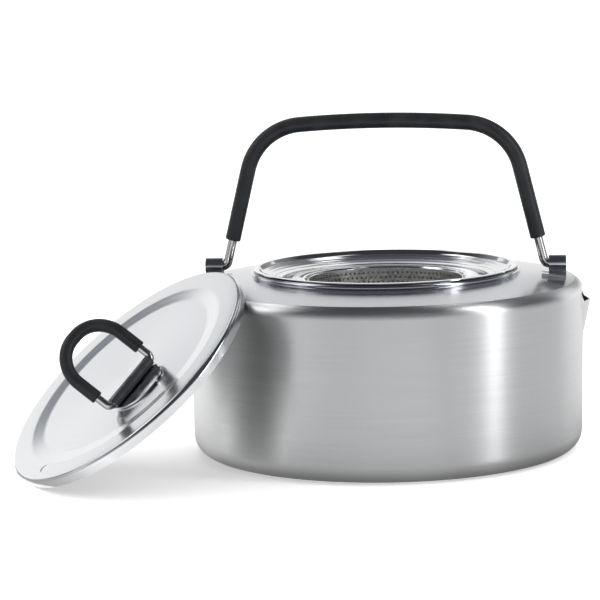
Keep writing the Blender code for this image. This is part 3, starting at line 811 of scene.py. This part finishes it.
# The corner's centre is a corner radius in from the leg and from the arch
beside_leg = Vector((BAIL_LEG_FOOT, 0.0)) + leg_inward * BAIL_CORNER_RADIUS
reach = beside_leg - arch_centre
half_b = reach.dot(leg_along)
rest = reach.length_squared - (arch_radius - BAIL_CORNER_RADIUS) ** 2
corner_centre = beside_leg + leg_along * (sqrt(half_b ** 2 - rest) - half_b)
corner_end = atan2(*(corner_centre - arch_centre).yx) * 180 / pi
sleeve_start = (BAIL_LEG_FOOT - tan(BAIL_LEAN) * BAIL_SLEEVE_START, BAIL_SLEEVE_START)
corner_start = corner_centre - leg_inward * BAIL_CORNER_RADIUS
grip = [sleeve_start, ((sleeve_start[0] + corner_start.x) / 2, (sleeve_start[1] + corner_start.y) / 2)]
grip += arc(*corner_centre, BAIL_CORNER_RADIUS, BAIL_CORNER_RADIUS, BAIL_LEAN * 180 / pi, corner_end, 20)
grip += arc(*arch_centre, arch_radius, arch_radius, corner_end, 90, 8)[1:]


def upright(points):
    """Points of the bail's own plane, which stands on the line through its pivots."""
    return [Vector((x, 0.0, z + PIVOT_HEIGHT)) for x, z in points]


Y_AXIS = Vector((0.0, 1.0, 0.0))
Z_AXIS = Vector((0.0, 0.0, 1.0))
bail_rod = rod(mirrored(upright(bail_foot + grip)), BAIL_WIRE_RADIUS, Y_AXIS)
add_piece("bail_rod", bail_rod, WIRE_STEEL, "bail", ["bail_wire"])
bail_hose = tube(mirrored(upright(grip)), BAIL_WIRE_RADIUS + BORE_CLEARANCE, BAIL_SLEEVE_RADIUS, Y_AXIS)
add_piece("bail_hose", bail_hose, HOSE, "bail", ["bail_sleeve"])

# Lid, in its own frame: across, down the slope and out of its face
outward = Vector((cos(LID_AZIMUTH), sin(LID_AZIMUTH), 0.0))
lid_normal = outward * sin(LID_TILT) + Z_AXIS * cos(LID_TILT)
lid_down = outward * cos(LID_TILT) - Z_AXIS * sin(LID_TILT)
lid_across = lid_down.cross(lid_normal)
LID = placed(LID_CENTRE, (lid_across, lid_down, lid_normal))

vent_end = VENT_START + VENT_LENGTH
lid_profile = fillet([(0.0, -RECESS_DEPTH), (RECESS_FLOOR_RADIUS, -RECESS_DEPTH),
                      (RECESS_EDGE_RADIUS, 0.0), (VENT_START - 0.4, 0.0)], [14.0, 14.0], 8)
vent_row = len(lid_profile)
lid_profile += [(VENT_START + VENT_LENGTH * k / VENT_STEPS, 0.0) for k in range(VENT_STEPS + 1)]
lid_profile += fillet([(vent_end, 0.0), (LID_RIM_RADIUS, 0.0), (LID_RADIUS, -LID_RIM_DROP),
                       (LID_SKIRT_RADIUS, -LID_SKIRT_DEPTH)], [1.0, 1.2], 8)[1:]
lid_inner = offset(lid_profile, -LID_SHEET)
vent_half = VENT_WIDTH / 2 / VENT_START
lid_angles = [angle for angle in even(TURN_STEPS) if abs(angle - VENT_ANGLE) > 2 * vent_half]
lid_angles += [VENT_ANGLE - vent_half, VENT_ANGLE + vent_half]
lid_angles.sort()
vent_column = lid_angles.index(VENT_ANGLE - vent_half)


def bend_vent(grid):
    """Bow the vent's slot and the mesh beside it."""
    for k in range(VENT_STEPS + 1):
        row = grid[vent_row + k]
        radius = VENT_START + VENT_LENGTH * k / VENT_STEPS
        bow = VENT_BOW * (1.0 - (2 * k / VENT_STEPS - 1.0) ** 2)
        for j, angle in enumerate(lid_angles):
            fade = max(0.0, 1.0 - abs(angle - VENT_ANGLE) * VENT_START / VENT_BEND_REACH)
            turn = angle - bow * fade / radius
            row[j] = (radius * cos(turn), radius * sin(turn), row[j][2])
    return grid


vent_cells = {(vent_row + k, vent_column) for k in range(VENT_STEPS)}
lid_skin = sheet(bend_vent(turned(lid_profile, lid_angles)), bend_vent(turned(lid_inner, lid_angles)),
                 True, vent_cells)
lid_cover = add_piece("lid_cover", lid_skin, LID_STEEL, "lid", ["lid_shell"], LID)
# Painted shade: the vent's cut edges are drawn as dark as the underside
shaded = lid_cover.data.attributes["under"]
lid_home = LID.inverted()
for face in lid_cover.data.polygons:
    spot = lid_home @ face.center
    is_edge = abs(face.normal.dot(lid_normal)) < 0.5
    if is_edge and hypot(spot.x, spot.y) < (vent_end + 0.5) * MM:
        shaded.data[face.index].value = 1.0

# Keeper: a half-moon tongue and a rolled barrel
tongue_depth = TONGUE_REACH - TONGUE_STRAIGHT
keeper_path = []
keeper_widths = []
for k in range(15):
    angle = radians(9 + 81 * k / 14)
    keeper_path.append((TONGUE_STRAIGHT + tongue_depth * cos(angle), -HOOK_RADIUS))
    keeper_widths.append(KEEPER_HALF * sin(angle))
keeper_path += arc(0.0, 0.0, HOOK_RADIUS, HOOK_RADIUS, -90, -390, 30)
keeper_widths += [KEEPER_HALF] * 31


def keeper_grid(section):
    return [[(side * half, -along, up) for side in (-1, -0.97, 0.97, 1)]
            for (along, up), half in zip(section, keeper_widths)]


KEEPER = LID @ Matrix.Translation(Vector(LOOP_PLACE) * MM) @ Matrix.Rotation(LOOP_TURN, 4, "Z")
keeper_mesh = sheet(keeper_grid(offset(keeper_path, KEEPER_SHEET / 2)),
                    keeper_grid(offset(keeper_path, -KEEPER_SHEET / 2)), False)
add_piece("keeper_plate", keeper_mesh, KEEPER_STEEL, "lid", ["lid_keeper"], KEEPER)

# Loop wire and its hose
LOOP = KEEPER @ Matrix.Rotation(LOOP_RAISE, 4, "X")
loop_foot = [(LOOP_HALF_WIDTH - LOOP_FOOT_LENGTH + 0.3, 0.0)]
loop_foot += arc(LOOP_HALF_WIDTH - LOOP_FOOT_BEND, LOOP_FOOT_BEND, LOOP_FOOT_BEND, LOOP_FOOT_BEND,
                 -90, 0, 10)
loop_grip = [(LOOP_HALF_WIDTH, LOOP_SLEEVE_START)]
loop_grip += arc(LOOP_HALF_WIDTH - LOOP_END_RADIUS, LOOP_REACH - LOOP_END_RADIUS, LOOP_END_RADIUS,
                 LOOP_END_RADIUS, 0, 90, 22)
loop_grip.append((0.0, LOOP_REACH))


def flat(points):
    return [Vector((x, y, 0.0)) for x, y in points]


loop_rod = rod(mirrored(flat(loop_foot + loop_grip)), LOOP_WIRE_RADIUS, Z_AXIS)
add_piece("loop_rod", loop_rod, WIRE_STEEL, "lid_loop", ["lid_loop_wire"], LOOP)
loop_hose = tube(mirrored(flat(loop_grip)), LOOP_WIRE_RADIUS + BORE_CLEARANCE, LOOP_SLEEVE_RADIUS, Z_AXIS)
add_piece("loop_hose", loop_hose, HOSE, "lid_loop", ["lid_loop_sleeve"], LOOP)


# Studio, in metres: a pale floor, white surroundings, soft lamps and grey glowing cards that show only in
# the steel, as painted reflections

FLOOR_HALF = 9.0
FLOOR_LEVEL = -0.0002
FLOOR_GLOW = 0.36
CAMERA_SIDE_DEGREES = 4.0
MIRROR_WALL_RADIUS = 0.0855
FRONT_DISTANCE = 1.05
BACK_DISTANCE = 1.2
CEILING_HEIGHT = 1.3
CEILING_HIGHLIGHT_CARD_HEIGHT = 1.29

floor_look, floor_tree, floor_shader = new_material("studio_floor")
rays = add_node(floor_tree, "LightPath", {})
seen = rays.outputs["Is Camera Ray"]
for kind in ("Is Glossy Ray", "Is Transmission Ray"):
    seen = add_node(floor_tree, "Math", {0: seen, 1: rays.outputs[kind]}, operation="MAXIMUM").outputs[0]
glow = add_node(floor_tree, "Math", {0: seen, 1: FLOOR_GLOW}, operation="MULTIPLY").outputs[0]
set_inputs(floor_tree, floor_shader, {"Base Color": (0.97, 0.97, 0.97, 1.0), "Roughness": 0.9,
                                      "Specular IOR Level": 0.1, "Emission Color": (1.0, 1.0, 1.0, 1.0),
                                      "Emission Strength": glow})
floor_mesh = bpy.data.meshes.new("studio_floor")
floor_mesh.from_pydata([(x * FLOOR_HALF, y * FLOOR_HALF, FLOOR_LEVEL)
                        for x, y in ((-1, -1), (1, -1), (1, 1), (-1, 1))], [], [(0, 1, 2, 3)])
floor_mesh.materials.append(floor_look)
floor = bpy.data.objects.new("studio_floor", floor_mesh)
bpy.context.collection.objects.link(floor)

world = bpy.data.worlds.new("studio")
bpy.context.scene.world = world
world.use_nodes = True
background = world.node_tree.nodes["Background"]
background.inputs["Color"].default_value = (1.0, 1.0, 1.0, 1.0)
background.inputs["Strength"].default_value = 1.0


def softbox(name, location, target, width, height, power):
    """Rectangular lamp that faces a target, with its power in watts."""
    lamp = bpy.data.lights.new(name, "AREA")
    lamp.shape = "RECTANGLE"
    lamp.size = width
    lamp.size_y = height
    lamp.energy = power
    obj = bpy.data.objects.new(name, lamp)
    bpy.context.collection.objects.link(obj)
    obj.location = location
    obj.rotation_euler = (Vector(target) - Vector(location)).to_track_quat("-Z", "Y").to_euler()
    obj.visible_camera = False
    return obj


def around(angle, radius, height):
    """A point of the studio, its angle in degrees to the right of the line to the camera."""
    turn = radians(angle + CAMERA_SIDE_DEGREES)
    return (radius * sin(turn), -radius * cos(turn), height)


def in_wall(direction, radius, height):
    """The point at a radius and height that the pot's wall mirrors in a direction in degrees."""
    turn = radians(direction) / 2
    forth = MIRROR_WALL_RADIUS * cos(turn)
    away = sqrt(forth ** 2 + radius ** 2 - MIRROR_WALL_RADIUS ** 2) - forth
    return around((turn + asin(away * sin(turn) / radius)) * 180 / pi, radius, height)


def card(name, rows, levels, fades, cool=0.0):
    """Glowing card, no lamp, that only shows as a reflection: a painted reflection.

    It has rows of points, one grey level for each column and a fade for each row.
    cool is how far its dark parts lean towards blue.
    """
    look, tree, shader = new_material(name)
    shown = add_node(tree, "Attribute", {}, attribute_name="grey").outputs["Color"]
    set_inputs(tree, shader, {"Base Color": (0.0, 0.0, 0.0, 1.0), "Specular IOR Level": 0.0,
                              "Emission Strength": 1.0, "Emission Color": shown})
    points = [point for row in rows for point in row]
    columns = len(rows[0])
    faces = [(i * columns + j, i * columns + j + 1, (i + 1) * columns + j + 1, (i + 1) * columns + j)
             for i in range(len(rows) - 1) for j in range(columns - 1)]
    mesh = bpy.data.meshes.new(name)
    mesh.from_pydata(points, [], faces)
    grey = mesh.color_attributes.new("grey", "FLOAT_COLOR", "POINT")
    for k in range(len(points)):
        level = levels[k % columns] * fades[k // columns]
        lean = cool * max(0.0, 1.0 - level * 1.4)
        grey.data[k].color = (level * (1.0 - 0.08 * lean), level, level * (1.0 + 0.14 * lean), 1.0)
    mesh.materials.append(look)
    piece = bpy.data.objects.new(name, mesh)
    bpy.context.collection.objects.link(piece)
    piece.visible_camera = False
    piece.visible_diffuse = False
    piece.visible_shadow = False


def ring_card(name, angles, rings_of_card, levels, fades, cool=0.0):
    """Card that goes round the pot, in rings of a radius and a height."""
    card(name, [[around(a, r, h) for a in angles] for r, h in rings_of_card], levels, fades, cool)


def level_card(name, across, along, height, levels, fades, cool=0.0):
    """Card that hangs level over the pot."""
    card(name, [[(x, y, height) for x in across] for y in along], levels, fades, cool)


def back_card(name, across, heights, levels, fades):
    """Card that stands behind the pot."""
    card(name, [[(x, BACK_DISTANCE, z) for x in across] for z in heights], levels, fades)


# Painted reflections of a grey table round the pot, darker close to its foot as painted shade, and the
# lid's painted shade on the wall
near_angles = (-188, -160, -140, -125, -90, -60, -54, -46, -38, -28, -20, -10, 0, 18, 24, 40, 50, 60,
               80, 100, 120, 140, 160, 172)
near_levels = (1.0, 1.0, 1.0, 1.0, 0.95, 0.95, 0.96, 0.94, 0.88, 0.83, 0.82, 0.87, 0.90, 0.90, 0.80,
               0.74, 0.68, 0.68, 0.72, 0.70, 0.76, 0.90, 0.97, 1.0)
near_rings = ((0.078, 0.00005), (0.083, 0.0004), (0.089, 0.001), (0.11, 0.002), (0.14, 0.002),
              (0.18, 0.002), (0.4, 0.002), (0.8, 0.002))
ring_card("near_card", near_angles, near_rings, near_levels,
          (0.20, 0.26, 0.46, 0.76, 0.96, 1.05, 1.0, 1.0))
shade_angles = (-116, -108, -98, -90, -80, -73, -66, -60)
shade_radii = (0.10, 0.13, 0.2, 0.35, 0.75)
card("lid_shade", [[in_wall(d, r, 0.003) for d in shade_angles] for r in shade_radii],
     (1.0, 0.97, 0.60, 0.36, 0.36, 0.46, 0.76, 0.96), (1.0, 1.1, 1.1, 1.0, 1.0))

# Painted reflections of a dim wall in front and a dim ceiling, with glowing patches, no lamps, that the
# steel mirrors as painted highlights
front_angles = range(-115, 121, 5)
front_rings = [(FRONT_DISTANCE, h) for h in (0.0, 0.10, 0.25, 0.42, 0.7, 1.3)]
ring_card("front_card", front_angles, front_rings, [1.0] * len(front_angles),
          (0.40, 0.40, 0.25, 0.07, 0.045, 0.045), cool=1.0)
level_card("ceiling_card", (-2.4, -1.0, 0.5, 2.0), (-1.1, 0.3, 0.7, 1.2, 2.1), CEILING_HEIGHT,
           [1.0] * 4, (0.045, 0.045, 0.08, 0.2, 0.3), cool=1.0)
for name, highlight_across, top in (("ceiling_light_left", (-0.90, -0.74, -0.60, -0.46), 2.6),
                                ("ceiling_light_right", (0.19, 0.25, 0.30, 0.36), 2.4)):
    level_card(name, highlight_across, (0.15, 0.45, 0.9, 1.3), CEILING_HIGHLIGHT_CARD_HEIGHT,
               (0.05, top, top, 0.05), (0.05, 1.0, 1.0, 0.2))
# A glowing band, no lamp, that paints a highlight on the fold at the top of the wall
fold_rings = [(0.6, h) for h in (0.25, 0.35, 0.70, 0.85)]
ring_card("fold_light", (-112, -100, -78, -68), fold_rings, (0.07, 1.8, 1.8, 0.07), (0.1, 1.0, 1.0, 0.1))

# Painted reflections: grey patches behind the pot, for the strainer's ring
back_card("back_left", (0.10, 0.19, 0.60, 0.75), (0.2, 0.32, 0.7, 1.1, 1.28),
          (0.9, 0.3, 0.3, 0.9), (1.0, 0.8, 1.3, 0.6, 0.8))
back_card("back_right", (-0.75, -0.60, -0.42, -0.36), (0.3, 0.5, 0.9, 1.2),
          (0.9, 0.4, 0.4, 0.9), (1.0, 1.0, 1.5, 1.0))

pot_middle = (0.0, 0.0, 0.06)
softbox("strip_right", around(60.0, 0.48, 0.30), pot_middle, 0.075, 0.60, 0.85)
softbox("strip_left", around(-76.0, 0.62, 0.35), pot_middle, 0.10, 0.70, 0.2)
top_lamp = softbox("top", (-0.3, 0.9, 1.25), (0.0, 0.0, 0.05), 0.8, 0.8, 5.0)
top_lamp.visible_glossy = False

# Camera at the photograph's place, in millimetres, with its turns in radians
CAMERA_PLACE = (80.43, -1147.2, 230.2)
CAMERA_YAW = -0.1025
CAMERA_PITCH = 0.1423
CAMERA_ROLL = -0.0224
camera_data = bpy.data.cameras.new("camera")
camera_data.sensor_width = 36.0
camera_data.lens = 159.72
camera_data.clip_start = 0.01
camera = bpy.data.objects.new("camera", camera_data)
bpy.context.collection.objects.link(camera)
forward = Vector((sin(CAMERA_YAW) * cos(CAMERA_PITCH), cos(CAMERA_YAW) * cos(CAMERA_PITCH),
                  -sin(CAMERA_PITCH)))
right = Vector((cos(CAMERA_YAW), -sin(CAMERA_YAW), 0.0))
up = right.cross(forward)
tilted_right = right * cos(CAMERA_ROLL) + up * sin(CAMERA_ROLL)
tilted_up = up * cos(CAMERA_ROLL) - right * sin(CAMERA_ROLL)
camera.matrix_world = placed(CAMERA_PLACE, (tilted_right, tilted_up, -forward))
bpy.context.scene.camera = camera
bpy.context.scene.view_settings.view_transform = "Standard"
